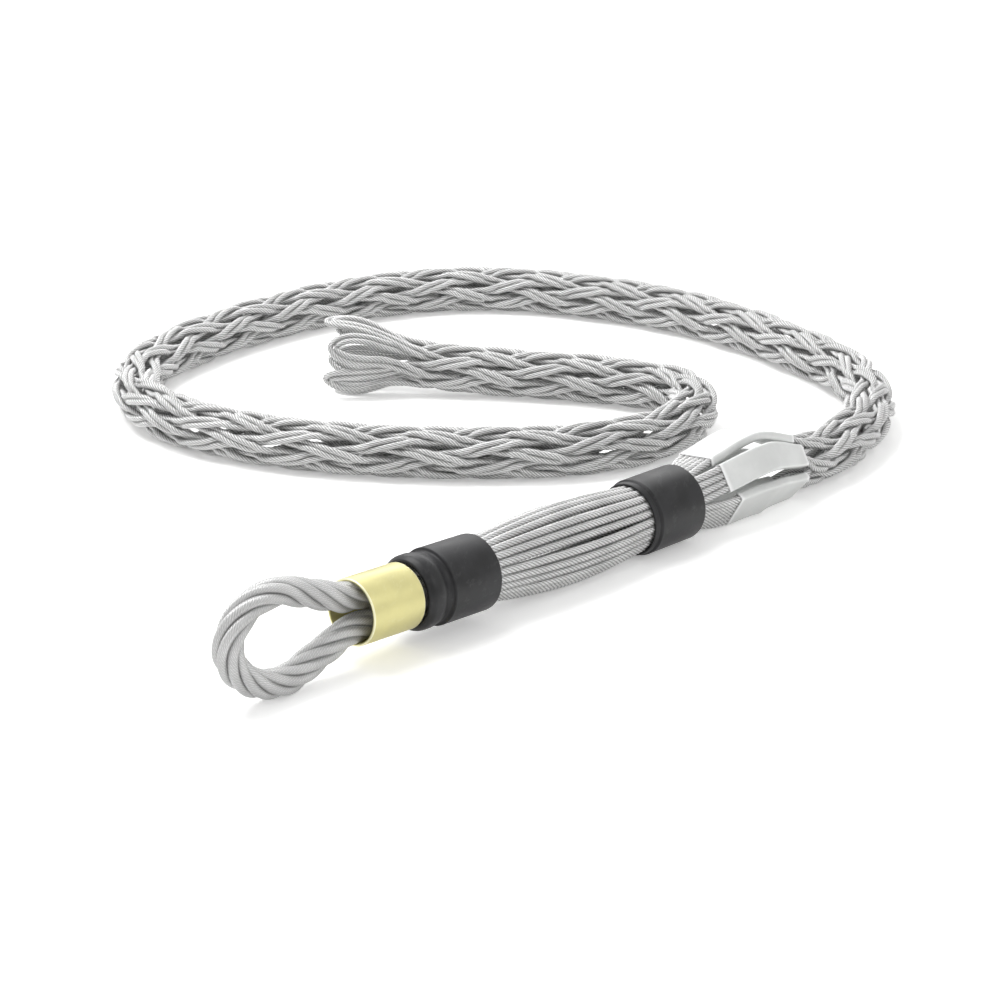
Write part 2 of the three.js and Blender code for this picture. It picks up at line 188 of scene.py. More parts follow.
@dataclass(frozen=True)
class ClipLayout:
    """Where the clips sit along and round the grip, and how wide they are."""

    clips: tuple[Clip, ...] = (Clip("clip_top", 3, 12.0), Clip("clip_front", 2, 6.0),
                               Clip("clip_near", 3, -6.0, 6.0), Clip("clip_bottom", 2),
                               Clip("clip_far", 2))
    first_angle: float = 72.0
    folds: float = 2.5
    start: float = 217.0
    bend: float = 248.0
    end: float = 276.0
    bend_rise: float = 2.4
    wall: float = 0.5
    cavity_half_height: float = 1.7
    clearance: float = 0.2
    spacing: float = 0.3
    rope_diameter: float = 3.0
    row_pitch: float = 3.04
    pair_width: float = 4.1
    pair_pitch: float = 5.1

    @property
    def half_height(self) -> float:
        """Returns half the outer height of a clip."""
        return self.cavity_half_height + self.wall

    @property
    def pairs(self) -> int:
        """Returns how many woven pairs leave the clips."""
        return self.first_place(len(self.clips))

    @property
    def pair_angle(self) -> float:
        """Returns the angle, in degrees, between two neighbouring pairs."""
        return 360 / self.pairs

    def first_place(self, index: int) -> int:
        """Returns the place round the grip of a clip's first pair."""
        return sum(clip.pairs for clip in self.clips[:index])

    def row_half_width(self, pairs: int) -> float:
        """Returns the half width of a cavity round its flat row of ropes."""
        return ((2 * pairs - 1) * self.row_pitch + self.rope_diameter) / 2 + self.clearance

    def gathered_half_width(self, pairs: int) -> float:
        """Returns the half width of a cavity where its ropes have gathered into pairs."""
        return ((pairs - 1) * self.pair_pitch + self.pair_width) / 2 + self.clearance

    def share(self, pairs: int) -> float:
        """Returns the part of the way round, in degrees, that a clip takes."""
        return 360 * (pairs + self.folds) / (self.pairs + len(self.clips) * self.folds)

    def angle(self, index: int) -> float:
        """Finds where a clip's middle is round the grip.

        Args:
            index: the clip's number.

        Returns:
            The angle in degrees.
        """
        before = sum(self.share(clip.pairs) for clip in self.clips[:index])
        own = self.share(self.clips[index].pairs) - self.share(self.clips[0].pairs)
        return self.first_angle + before + own / 2

    def place_angle(self, place: float) -> float:
        """Returns the angle, in degrees, of a pair's place round the grip, or between two."""
        return self.first_angle + (place - (self.clips[0].pairs - 1) / 2) * self.pair_angle

    def of_place(self, place: int) -> tuple[int, float]:
        """Returns the clip that holds a pair, and the pair's place from the middle there."""
        index = max(i for i in range(len(self.clips)) if self.first_place(i) <= place)
        return index, place - self.first_place(index) - (self.clips[index].pairs - 1) / 2

    def rise(self, half_width: Callable[[int], float]) -> float:
        """Returns how far out the clips sit so that each one clears its neighbours."""
        return self.half_height + max(
            (half_width(clip.pairs) + self.wall + self.spacing / 2)
            / math.tan(math.radians(self.share(clip.pairs) / 2)) for clip in self.clips)

    def stations(self) -> list[tuple[float, Callable[[int], float], float]]:
        """Returns each corner of the clips as u, half width by pairs, and height."""
        wide, narrow = self.row_half_width, self.gathered_half_width
        return [(self.start, wide, self.rise(wide)),
                (self.bend, wide, self.rise(wide) + self.bend_rise),
                (self.end, narrow, self.rise(narrow))]

    def shape(self, u: float, pairs: int) -> tuple[float, float]:
        """Finds a clip's size and height at one place.

        Args:
            u: the distance along the grip.
            pairs: how many pairs the clip takes.

        Returns:
            The cavity's half width, and the height above the axis.
        """
        corners = self.stations()
        places = [corner[0] for corner in corners]
        return (float(np.interp(u, places, [corner[1](pairs) for corner in corners])),
                float(np.interp(u, places, [corner[2] for corner in corners])))

    def rest_height(self, half_width: Callable[[int], float], rise: float) -> float:
        """Finds how high the axis is where the clips rest on the floor.

        Args:
            half_width: the clips' cavity half width by pairs.
            rise: how far out from the axis the clips sit.

        Returns:
            The axis' height.
        """
        depths = []
        for index, clip in enumerate(self.clips):
            angle = math.radians(self.angle(index))
            reach = (half_width(clip.pairs) + self.wall) * abs(math.cos(angle))
            depths.append(reach - (rise + self.half_height) * math.sin(angle))
        return max(depths) + self.spacing


CLIPS = ClipLayout()


@dataclass(frozen=True)
class GripAxis:
    """The grip's centreline: u is the distance from the ferrule's front rim to the tail."""

    head_start: tuple[float, float] = (-58.7, -236.0)
    heading: float = math.radians(46)
    front_pitch: float = math.radians(1.9)
    front_lift: float = 2.9
    collar_radius: float = 17.23
    front_collar_end: float = 70.0
    rear_collar_start: float = 167.0
    rear_collar_end: float = 199.0
    ferrule_length: float = 28.0
    mouth_depth: float = 9.0
    fit_gap: float = 0.3
    heading_reach: float = 0.4
    sock_outer: float = 12.8
    route: tuple[tuple[float, float, float], ...] = (
        (157, -9.5, 0), (172, 16.5, 0), (182, 42.5, 0), (186, 70.5, 0), (184, 97.5, 0),
        (177, 123.5, 0), (163, 149.5, 0), (137, 190.5, 0), (97, 232.5, 0), (52, 259.5, 0),
        (6, 274.5, 0), (-39, 272.5, 0), (-84, 252.5, 0), (-126, 216.5, 0), (-162, 170.5, 0),
        (-183, 124.5, 0), (-185, 90.5, 0), (-173, 56.5, 0), (-149, 28.5, 0), (-109, 4.5, 0),
        (-65, -8.5, 0), (-13, -13.5, 0), (41, -7.5, 0), (76, 13.5, 0), (96, 46.5, 0),
        (93, 78.5, 0), (63, 98.5, 0), (17, 111.5, 0), (-27, 117.5, 2), (-65, 120.5, 6.5),
        (-94, 122.5, 8.5),
    )
    sock: SmoothPath = field(init=False)

    def __post_init__(self) -> None:
        """Lays the sock's centreline from the rear collar's end."""
        points = [self.head_point(self.rear_collar_end, self.collar_radius)]
        for u, half_width, rise in CLIPS.stations():
            points.append(self.head_point(u, CLIPS.rest_height(half_width, rise)))
        points += [(x, y, self.sock_outer + lift) for x, y, lift in self.route]
        object.__setattr__(self, "sock", SmoothPath(np.array(points, float)))

    def head_point(self, u: float, height: float) -> tuple[float, float, float]:
        """Returns the point of the straight head at u and a height."""
        return (self.head_start[0] + u * math.cos(self.heading),
                self.head_start[1] + u * math.sin(self.heading), height)

    def head_height(self, u: Points) -> Points:
        """Finds the height of the head's axis: pitched, then down to the rear collar.

        Args:
            u: distances along the grip.

        Returns:
            The heights.
        """
        slope = -math.tan(self.front_pitch)
        length = self.rear_collar_start - self.front_collar_end
        share = np.clip((u - self.front_collar_end) / length, 0, 1)
        fall = self.front_lift * (2 * share ** 3 - 3 * share ** 2 + 1)
        swing = slope * length * (share ** 3 - 2 * share ** 2 + share)
        before = np.minimum(u - self.front_collar_end, 0) * slope
        return self.collar_radius + fall + swing + before

    def centre(self, u: Points) -> Points:
        """Finds points of the axis.

        Args:
            u: distances along the grip.

        Returns:
            The points, one a row.
        """
        x, y, _ = self.head_point(u, 0.0)
        head = np.column_stack([x, y, self.head_height(u)])
        sock = self.sock.at(np.clip(u - self.rear_collar_end, 0, self.sock.length))
        return np.where((u <= self.rear_collar_end)[:, None], head, sock)

    def stations(self, u: Points, degrees: Points | float, radius: Points | float) -> Stations:
        """Returns places round the axis.

        Args:
            u: distances along the grip.
            degrees: angles round the axis, 0 on the left side and 90 on top.
            radius: distances from the axis.

        Returns:
            The stations, with their directions.
        """
        u = np.asarray(u, float)
        centre = self.centre(u)
        onward = unit(self.centre(u + self.heading_reach) - self.centre(u - self.heading_reach))
        end = u >= self.rear_collar_end + self.sock.length - 1
        onward[end] = self.sock.heading_at(np.array([self.sock.length]))[0]
        side = unit(np.cross([0.0, 0.0, 1.0], onward))
        lift = np.cross(onward, side)
        angle = np.radians(np.broadcast_to(degrees, u.shape))[:, None]
        outward = side * np.cos(angle) + lift * np.sin(angle)
        sideways = np.cross(onward, outward)
        radius = np.broadcast_to(radius, u.shape)[:, None]
        return Stations(centre + outward * radius, outward, sideways)

    def front_matrix(self) -> Matrix:
        """Places what is pitched with the front collar.

        Returns:
            The place of the collar's far end, in millimetres.
        """
        height = float(self.head_height(np.array([self.front_collar_end]))[0])
        place = Matrix.Translation(Vector(self.head_point(self.front_collar_end, height)))
        return place @ Matrix.Rotation(self.heading, 4, "Z") @ Matrix.Rotation(
            self.front_pitch, 4, "Y")

    def rear_matrix(self) -> Matrix:
        """Returns the place of the rear collar's far end, in millimetres."""
        place = Matrix.Translation(Vector(self.head_point(self.rear_collar_end,
                                                          self.collar_radius)))
        return place @ Matrix.Rotation(self.heading, 4, "Z")


AXIS = GripAxis()


# Meshes


def linked(name: str, data: bpy.types.ID) -> bpy.types.Object:
    """Puts new data in the scene.

    Args:
        name: the object's name.
        data: the mesh, light or camera.

    Returns:
        The object that shows it.
    """
    piece = bpy.data.objects.new(name, data)
    bpy.context.scene.collection.objects.link(piece)
    return piece


def new_object(name: str, points: Points, faces: list[tuple[int, ...]]) -> bpy.types.Object:
    """Makes a mesh object in the scene.

    Args:
        name: the object's name.
        points: its corners in millimetres.
        faces: its faces as corner numbers.

    Returns:
        The object.
    """
    mesh = bpy.data.meshes.new(name)
    mesh.from_pydata((np.asarray(points) * MM).tolist(), [], faces)
    mesh.update()
    return linked(name, mesh)


def band(first: int, second: int, count: int) -> list[tuple[int, ...]]:
    """Returns the faces between two closed rings of corners."""
    return [(first + i, first + (i + 1) % count, second + (i + 1) % count, second + i)
            for i in range(count)]


def shade_smooth(piece: bpy.types.Object, sharp: float = 50.0) -> None:
    """Shades a piece smooth, apart from its sharp edges.

    Args:
        piece: the piece.
        sharp: the angle, in degrees, above which an edge is sharp.
    """
    mesh = piece.data
    mesh.shade_smooth()
    mesh.set_sharp_from_angle(angle=math.radians(sharp))


def mark_rim(piece: bpy.types.Object, shares: Points) -> None:
    """Stores how much each corner belongs to a worn rim, 0 to 1."""
    attribute = piece.data.attributes.new("rim", "FLOAT", "POINT")
    attribute.data.foreach_set("value", shares.astype(np.float32))


def rounded(corners: list[tuple[float, float, float]], bits: int = 6) -> Points:
    """Rounds the corners of a closed outline.

    Args:
        corners: along, across and fillet radius of each corner.
        bits: how many stretches each fillet has.

    Returns:
        The outline's points, two values a row.
    """
    outline = []
    spots = np.array(corners)[:, :2]
    for i, (_, _, radius) in enumerate(corners):
        here = spots[i]
        back, ahead = spots[i - 1] - here, spots[(i + 1) % len(spots)] - here
        cut = min(radius, 0.48 * np.linalg.norm(back), 0.48 * np.linalg.norm(ahead))
        start, end = here + unit(back) * cut, here + unit(ahead) * cut
        for share in np.linspace(0, 1, bits + 1 if cut > 0 else 1):
            outline.append(start * (1 - share) ** 2 + 2 * here * share * (1 - share)
                           + end * share ** 2)
    return np.array(outline)


# Shader node groups


class Nodes:
    """Short calls for building one node tree."""

    def __init__(self, tree: Tree) -> None:
        """Keeps the tree to build in."""
        self.tree = tree

    def add(self, kind: str, inputs: dict[str | int, object] | None = None,
            **settings: object) -> bpy.types.Node:
        """Adds a node.

        Args:
            kind: the node's type.
            inputs: sockets to link or values to set, by input name or number.
            settings: the node's own properties.

        Returns:
            The node.
        """
        node = self.tree.nodes.new(kind)
        for key, value in settings.items():
            setattr(node, key, value)
        self.feed(node, inputs or {})
        return node

    def feed(self, node: bpy.types.Node, inputs: dict[str | int, object]) -> None:
        """Feeds a node.

        Args:
            node: the node.
            inputs: sockets to link or values to set, by input name or number.
        """
        for key, value in inputs.items():
            if isinstance(value, bpy.types.NodeSocket):
                self.tree.links.new(value, node.inputs[key])
            else:
                node.inputs[key].default_value = value

    def attribute(self, name: str, output: str = "Fac") -> Socket:
        """Returns what a mesh attribute holds."""
        return self.add("ShaderNodeAttribute", attribute_name=name).outputs[output]

    def store(self, shape: Socket, name: str, value: Socket, kind: str = "FLOAT") -> Socket:
        """Returns a geometry with a value stored on its points under a name."""
        node = self.add("GeometryNodeStoreNamedAttribute", {"Geometry": shape, "Name": name,
                        "Value": value}, data_type=kind, domain="POINT")
        return node.outputs[0]

    def math(self, operation: str, *values: object) -> Socket:
        """Returns the result of a Math node on these values."""
        node = self.add("ShaderNodeMath", dict(enumerate(values)), operation=operation)
        return node.outputs[0]

    def remap(self, value: Socket, low: float, high: float, start: object,
              end: object) -> Socket:
        """Returns a value mapped smoothly from low..high to start..end."""
        node = self.add("ShaderNodeMapRange", {"Value": value, "From Min": low,
                        "From Max": high, "To Min": start, "To Max": end},
                        interpolation_type="SMOOTHSTEP")
        return node.outputs["Result"]

    def mix(self, share: object, first: object, second: object,
            blend: str = "MIX") -> Socket:
        """Returns a mix of two colours."""
        node = self.add("ShaderNodeMix", {0: share, 6: first, 7: second},
                        data_type="RGBA", blend_type=blend)
        return node.outputs[2]

    def noise(self, scale: object, detail: float = 3.0, vector: Socket | None = None,
              rough: float = 0.55) -> Socket:
        """Makes a noise value.

        Args:
            scale: the noise's scale.
            detail: its detail.
            vector: what it is drawn on, or None for Object coordinates.
            rough: its roughness.

        Returns:
            The value.
        """
        if vector is None:
            vector = self.add("ShaderNodeTexCoord").outputs["Object"]
        node = self.add("ShaderNodeTexNoise", {"Vector": vector, "Scale": scale,
                        "Detail": detail, "Roughness": rough})
        return node.outputs["Fac"]


def new_material(name: str) -> tuple[bpy.types.Material, Nodes, bpy.types.Node]:
    """Starts a material.

    Args:
        name: the material's name.

    Returns:
        The material, the builder of its tree, and its Principled BSDF.
    """
    made = bpy.data.materials.new(name)
    made.use_nodes = True
    return made, Nodes(made.node_tree), made.node_tree.nodes["Principled BSDF"]


def shader_group(name: str, inputs: dict[str, float], outputs: list[str]) -> Nodes:
    """Starts a shader node group.

    Args:
        name: the group's name.
        inputs: its value inputs with their defaults.
        outputs: its value outputs.

    Returns:
        The builder of its tree, with nodes named Inputs and Outputs.
    """
    tree = bpy.data.node_groups.new(name, "ShaderNodeTree")
    for label, value in inputs.items():
        socket = tree.interface.new_socket(label, in_out="INPUT", socket_type="NodeSocketFloat")
        socket.default_value = value
    for label in outputs:
        tree.interface.new_socket(label, in_out="OUTPUT", socket_type="NodeSocketFloat")
    tree.nodes.new("NodeGroupInput").name = "Inputs"
    tree.nodes.new("NodeGroupOutput").name = "Outputs"
    return Nodes(tree)


def wire_lay_group() -> Tree:
    """Makes the group that draws laid wires round a rope.

    The rope's mesh stores spoke, the cosine and sine of the angle round it, and run, the
    distance along it in metres. Height is 1 on a wire and 0 in the groove beside it, Groove
    marks the line there that the rope finish fills with painted shade, and Grime is a slow
    change along the rope.

    Returns:
        The group's tree.
    """
    nodes = shader_group("wire_lay", {"Wires": 12.0, "Lay": 0.03, "Slow": 60.0},
                         ["Height", "Groove", "Grime"])
    inputs = nodes.tree.nodes["Inputs"].outputs
    run = nodes.attribute("run")
    parts = nodes.add("ShaderNodeSeparateXYZ", {0: nodes.attribute("spoke", "Vector")}).outputs
    angle = nodes.math("ARCTAN2", parts["Y"], parts["X"])
    along = nodes.math("DIVIDE", nodes.math("MULTIPLY", run, 2 * math.pi), inputs["Lay"])
    phase = nodes.math("MULTIPLY", nodes.math("SUBTRACT", angle, along), inputs["Wires"])
    wave = nodes.math("ABSOLUTE", nodes.math("COSINE", nodes.math("MULTIPLY", phase, 0.5)))
    nodes.feed(nodes.tree.nodes["Outputs"], {
        "Height": nodes.math("POWER", wave, 0.6),
        "Groove": nodes.remap(wave, 0.0, 0.45, 1.0, 0.0),
        "Grime": nodes.noise(inputs["Slow"], 2.0)})
    return nodes.tree


def worn_surface_group() -> Tree:
    """Makes the group of scuffs and blotches for rubber, plating and sheet.

    Blotch is a slow change, Scuff holds short drawn-out scratches, and Grain is a fine
    roughness, each about 0 to 1.

    Returns:
        The group's tree.
    """
    nodes = shader_group("worn_surface", {"Blotch size": 90.0, "Scuff size": 260.0,
                         "Grain size": 2400.0, "Scuff cover": 0.5},
                         ["Blotch", "Scuff", "Grain"])
    inputs = nodes.tree.nodes["Inputs"].outputs
    place = nodes.add("ShaderNodeTexCoord").outputs["Object"]
    drawn = nodes.add("ShaderNodeMapping", {"Vector": place, "Rotation": (0.5, 0.3, 0.9),
                      "Scale": (1.0, 0.16, 1.0)}).outputs[0]
    streak = nodes.noise(inputs["Scuff size"], 4.0, drawn, 0.7)
    edge = nodes.math("ADD", inputs["Scuff cover"], 0.22)
    scuff = nodes.add("ShaderNodeMapRange", {"Value": streak, "From Min": inputs["Scuff cover"],
                      "From Max": edge}).outputs[0]
    nodes.feed(nodes.tree.nodes["Outputs"], {
        "Blotch": nodes.noise(inputs["Blotch size"], 3.0, place),
        "Scuff": scuff,
        "Grain": nodes.noise(inputs["Grain size"], 2.0, place)})
    return nodes.tree


def grey(level: float) -> tuple[float, float, float, float]:
    """Returns a neutral colour of a linear level."""
    return (level, level, level * 0.995, 1.0)


# Finishes


@dataclass(frozen=True)
class RopeFinish:
    """Galvanised wire rope: bright wires, with painted shade in the grooves between them."""

    name: str
    wires: float
    lay: float
    wire_level: float = 0.97
    # The grey that grooves and valleys are painted, as shade between the wires and strands.
    groove_shade_level: float = 0.2
    groove_depth: float = 0.00016
    metal: float = 0.5
    roughness: float = 0.3

    def material(self, group: Tree) -> bpy.types.Material:
        """Makes the rope's material.

        Args:
            group: the wire lay group.

        Returns:
            The material.
        """
        made, nodes, shader = new_material(self.name)
        lay = nodes.add("ShaderNodeGroup", {"Wires": self.wires, "Lay": self.lay},
                        node_tree=group)
        slow = nodes.remap(lay.outputs["Grime"], 0.3, 0.7, 0.9, 1.06)
        bright = nodes.mix(1.0, grey(self.wire_level), slow, "MULTIPLY")
        # Painted shade: valleys between the lobes and grooves between the wires are coloured
        # towards the groove grey, and made rougher.
        deep = nodes.math("POWER", nodes.attribute("valley"), 2.0)
        painted_shade = nodes.math("MAXIMUM", nodes.math("MULTIPLY", lay.outputs["Groove"], 0.6), deep)
        colour = nodes.mix(painted_shade, bright, grey(self.groove_shade_level))
        rough = nodes.remap(painted_shade, 0.0, 1.0, self.roughness, self.roughness + 0.25)
        bump = nodes.add("ShaderNodeBump", {"Height": lay.outputs["Height"],
                         "Distance": self.groove_depth, "Strength": 1.0})
        nodes.feed(shader, {"Base Color": colour, "Roughness": rough,
                            "Normal": bump.outputs[0], "Metallic": self.metal})
        return made


@dataclass(frozen=True)
class WornFinish:
    """A moulded, plated or rolled surface with blotches, scuffs and a fine grain."""

    name: str
    base: tuple[float, float, float]
    worn: tuple[float, float, float]
    metal: float
    roughness: float
    blotch_size: float
    scuff_size: float
    scuff_cover: float
    scuff_share: float
    grain_depth: float
    rim: tuple[float, float, float] | None = None
    sheen: float = 0.5
    patches: tuple[float, float] = (0.93, 1.05)

    def material(self, group: Tree) -> bpy.types.Material:
        """Makes the surface's material.

        Args:
            group: the worn surface group.

        Returns:
            The material.
        """
        made, nodes, shader = new_material(self.name)
        worn = nodes.add("ShaderNodeGroup", {"Blotch size": self.blotch_size, "Scuff size":
                         self.scuff_size, "Scuff cover": self.scuff_cover}, node_tree=group)
        slow = nodes.remap(worn.outputs["Blotch"], 0.3, 0.7, *self.patches)
        colour = nodes.mix(1.0, (*self.base, 1.0), slow, "MULTIPLY")
        scuff = nodes.math("MULTIPLY", worn.outputs["Scuff"], self.scuff_share)
        colour = nodes.mix(scuff, colour, (*self.worn, 1.0))
        if self.rim is not None:
            colour = nodes.mix(nodes.attribute("rim"), colour, (*self.rim, 1.0))
        rough = nodes.remap(worn.outputs["Blotch"], 0.25, 0.75, self.roughness - 0.06,
                            self.roughness + 0.08)
        height = nodes.math("ADD", nodes.math("MULTIPLY", worn.outputs["Grain"], 0.5), scuff)
        bump = nodes.add("ShaderNodeBump", {"Height": height, "Distance": self.grain_depth})
        nodes.feed(shader, {"Base Color": colour, "Roughness": rough,
                            "Normal": bump.outputs[0], "Metallic": self.metal,
                            "Specular IOR Level": self.sheen})
        return made


@dataclass
class Finishes:
    """Every material of the grip, by its slot."""

    made: dict[Slot, bpy.types.Material] = field(default_factory=dict)

    def build(self) -> "Finishes":
        """Makes the two groups and the materials.

        Returns:
            This object.
        """
        wires = wire_lay_group()
        worn = worn_surface_group()
        for slot, finish in (
            (Slot.THIN_ROPE, RopeFinish("galvanised thin rope", wires=18.0, lay=0.016)),
            (Slot.EYE_ROPE, RopeFinish("galvanised eye strand", wires=12.0, lay=-0.018,
                                       wire_level=0.7, groove_shade_level=0.07)),
            (Slot.CORE, RopeFinish("dull rope core", wires=6.0, lay=0.02, wire_level=0.4,
                                   groove_shade_level=0.1)),
        ):
            self.made[slot] = finish.material(wires)
        for slot, finish in (
            (Slot.CRIMP, WornFinish(
                "plain crimp steel", base=(0.4, 0.4, 0.4), worn=(0.55, 0.55, 0.55), metal=0.9,
                roughness=0.45, blotch_size=90, scuff_size=260, scuff_cover=0.55,
                scuff_share=0.3, grain_depth=0.00004)),
            (Slot.PLATED, WornFinish(
                "pale yellow plating", base=(0.66, 0.61, 0.28), worn=(0.78, 0.75, 0.46),
                metal=0.5, roughness=0.36, blotch_size=60, scuff_size=420, scuff_cover=0.56,
                scuff_share=0.3, grain_depth=0.00002, rim=(0.93, 0.90, 0.62))),
            (Slot.RUBBER, WornFinish(
                "moulded black rubber", base=(0.008, 0.008, 0.009), worn=(0.06, 0.06, 0.062),
                metal=0.0, roughness=0.4, blotch_size=70, scuff_size=240, scuff_cover=0.56,
                scuff_share=0.5, grain_depth=0.00005, rim=(0.03, 0.03, 0.032), sheen=0.34,
                patches=(0.45, 1.9))),
            (Slot.CLIP, WornFinish(
                "bright folded sheet", base=(0.68, 0.69, 0.68), worn=(0.58, 0.59, 0.58),
                metal=0.3, roughness=0.34, blotch_size=60, scuff_size=300, scuff_cover=0.55,
                scuff_share=0.3, grain_depth=0.00004, rim=(0.92, 0.92, 0.92))),
        ):
            self.made[slot] = finish.material(worn)
        return self


# Laid ropes


@dataclass(frozen=True)
class RopeLay:
    """How a rope or strand is laid up, and how finely its mesh follows that.

    Lobes are the rounded ridges of its section, each of points_each points, with grooves this
    deep between them. Lay is the length of one turn, and step that of one ring of the mesh.
    """

    radius: float
    lobes: int
    points_each: int
    groove: float
    lay: float
    step: float


class RopeMaker:
    """Lays lobed ropes along centrelines with one geometry node tree."""

    def __init__(self) -> None:
        """Builds the tree once."""
        self.tree = self._build_tree()
        self.sockets = {item.name: item.identifier for item in self.tree.interface.items_tree
                        if item.item_type == "SOCKET" and item.in_out == "INPUT"}

    def _build_tree(self) -> Tree:
        """Builds the tree that turns polylines into laid ropes.

        Returns:
            The tree.
        """
        tree = bpy.data.node_groups.new("laid_rope", "GeometryNodeTree")
        for label, kind in (("Geometry", "Geometry"), ("Radius", "Float"), ("Lobes", "Int"),
                            ("Points each", "Int"), ("Groove", "Float"), ("Lay", "Float"),
                            ("Step", "Float"), ("Material", "Material")):
            tree.interface.new_socket(label, in_out="INPUT", socket_type=f"NodeSocket{kind}")
        tree.interface.new_socket("Geometry", in_out="OUTPUT", socket_type="NodeSocketGeometry")
        nodes = Nodes(tree)
        inputs = nodes.add("NodeGroupInput").outputs
        profile = self._profile(nodes, inputs)
        curve = nodes.add("GeometryNodeMeshToCurve", {"Mesh": inputs["Geometry"]})
        spaced = nodes.add("GeometryNodeResampleCurve", {"Curve": curve.outputs[0],
                           "Length": inputs["Step"]}, mode="LENGTH")
        run = nodes.add("GeometryNodeSplineParameter").outputs["Length"]
        turns = nodes.math("DIVIDE", nodes.math("MULTIPLY", run, 2 * math.pi), inputs["Lay"])
        tilted = nodes.add("GeometryNodeSetCurveTilt", {"Curve": spaced.outputs[0],
                           "Tilt": turns})
        marked = nodes.store(tilted.outputs[0], "run", run)
        swept = nodes.add("GeometryNodeCurveToMesh", {"Curve": marked,
                          "Profile Curve": profile, "Fill Caps": True})
        smooth = nodes.add("GeometryNodeSetShadeSmooth", {"Geometry": swept.outputs[0]})
        real = nodes.add("GeometryNodeRealizeInstances", {"Geometry": smooth.outputs[0]})
        dressed = nodes.add("GeometryNodeSetMaterial", {"Geometry": real.outputs[0],
                            "Material": inputs["Material"]})
        nodes.add("NodeGroupOutput", {"Geometry": dressed.outputs[0]})
        return tree

    @staticmethod
    def _profile(nodes: Nodes, inputs: bpy.types.NodeOutputs) -> Socket:
        """Draws the rope's lobed section, with its spokes and valleys stored.

        Args:
            nodes: the builder of the tree.
            inputs: the tree's inputs.

        Returns:
            The section.
        """
        count = nodes.math("MULTIPLY", inputs["Lobes"], inputs["Points each"])
        circle = nodes.add("GeometryNodeCurvePrimitiveCircle", {"Resolution": count,
                           "Radius": 1.0}).outputs[0]
        index = nodes.add("GeometryNodeInputIndex").outputs[0]
        phase = nodes.math("MULTIPLY", nodes.math("DIVIDE", index, inputs["Points each"]),
                           math.pi)
        ridge = nodes.math("ABSOLUTE", nodes.math("COSINE", phase))
        valley = nodes.math("SUBTRACT", 1.0, ridge)
        spot = nodes.add("GeometryNodeInputPosition").outputs[0]
        spokes = nodes.store(circle, "spoke", spot, "FLOAT_VECTOR")
        marked = nodes.store(spokes, "valley", valley)
        depth = nodes.math("MULTIPLY", valley, inputs["Groove"])
        reach = nodes.math("SUBTRACT", inputs["Radius"], depth)
        grown = nodes.add("ShaderNodeVectorMath", {0: spot, "Scale": reach},
                          operation="SCALE").outputs[0]
        return nodes.add("GeometryNodeSetPosition", {"Geometry": marked,
                         "Position": grown}).outputs[0]

    def lay(self, name: str, centrelines: list[Points], lay: RopeLay,
            material: bpy.types.Material) -> bpy.types.Object:
        """Lays ropes along centrelines and bakes them into one piece.

        Args:
            name: the piece's name.
            centrelines: the points of each rope's axis, in millimetres.
            lay: the ropes' section and lay.
            material: what they are dressed with.

        Returns:
            The finished piece, a plain mesh.
        """
        starts = np.cumsum([0] + [len(line) for line in centrelines])
        mesh = bpy.data.meshes.new(f"{name}_line")
        edges = [(start + i, start + i + 1) for start, line in zip(starts, centrelines)
                 for i in range(len(line) - 1)]
        mesh.from_pydata((np.vstack(centrelines) * MM).tolist(), edges, [])
        guide = linked(f"{name}_guide", mesh)
        modifier = guide.modifiers.new("laid_rope", "NODES")
        modifier.node_group = self.tree
        for label, value in (("Radius", lay.radius * MM), ("Lobes", lay.lobes),
                             ("Points each", lay.points_each), ("Groove", lay.groove * MM),
                             ("Lay", lay.lay * MM), ("Step", lay.step * MM),
                             ("Material", material)):
            modifier[self.sockets[label]] = value
        graph = bpy.context.evaluated_depsgraph_get()
        graph.update()
        baked = bpy.data.meshes.new_from_object(guide.evaluated_get(graph))
        baked.name = name
        guide.modifiers.remove(modifier)
        bpy.data.objects.remove(guide)
        bpy.data.meshes.remove(mesh)
        return linked(name, baked)


class Workshop:
    """What every sub-assembly needs: its finishes, the rope maker, and how a piece is put in."""

    def __init__(self) -> None:
        """Makes the finishes and the rope maker."""
        self.finishes = Finishes().build()
        self.ropes = RopeMaker()
        self.triangles = 0

    def material(self, slot: Slot) -> bpy.types.Material:
        """Returns the material of a slot."""
        return self.finishes.made[slot]

    def put(self, piece: bpy.types.Object, slot: Slot, *nodes: str) -> None:
        """Puts a finished piece in its body.

        Args:
            piece: the piece.
            slot: its material slot, not used here.
            nodes: the CAD nodes that it stands for.
        """
        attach(piece, ROOT)
        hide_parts(*nodes)
        count = sum(len(face.vertices) - 2 for face in piece.data.polygons)
        self.triangles += count
        LOG.info("%s: %d triangles, for %s", piece.name, count, ", ".join(nodes))

    def lay_rope(self, node: str, slot: Slot, centrelines: list[Points], lay: RopeLay) -> None:
        """Lays the rope, or the ropes side by side, that stand for a node."""
        piece = self.ropes.lay(f"laid_{node}", centrelines, lay, self.material(slot))
        self.put(piece, slot, node)

    def dress(self, node: str, slot: Slot) -> None:
        """Gives a CAD node that stays the material of a slot.

        Args:
            node: the node's name.
            slot: the slot.
        """
        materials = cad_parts[node].data.materials
        materials.clear()
        materials.append(self.material(slot))


# The eye


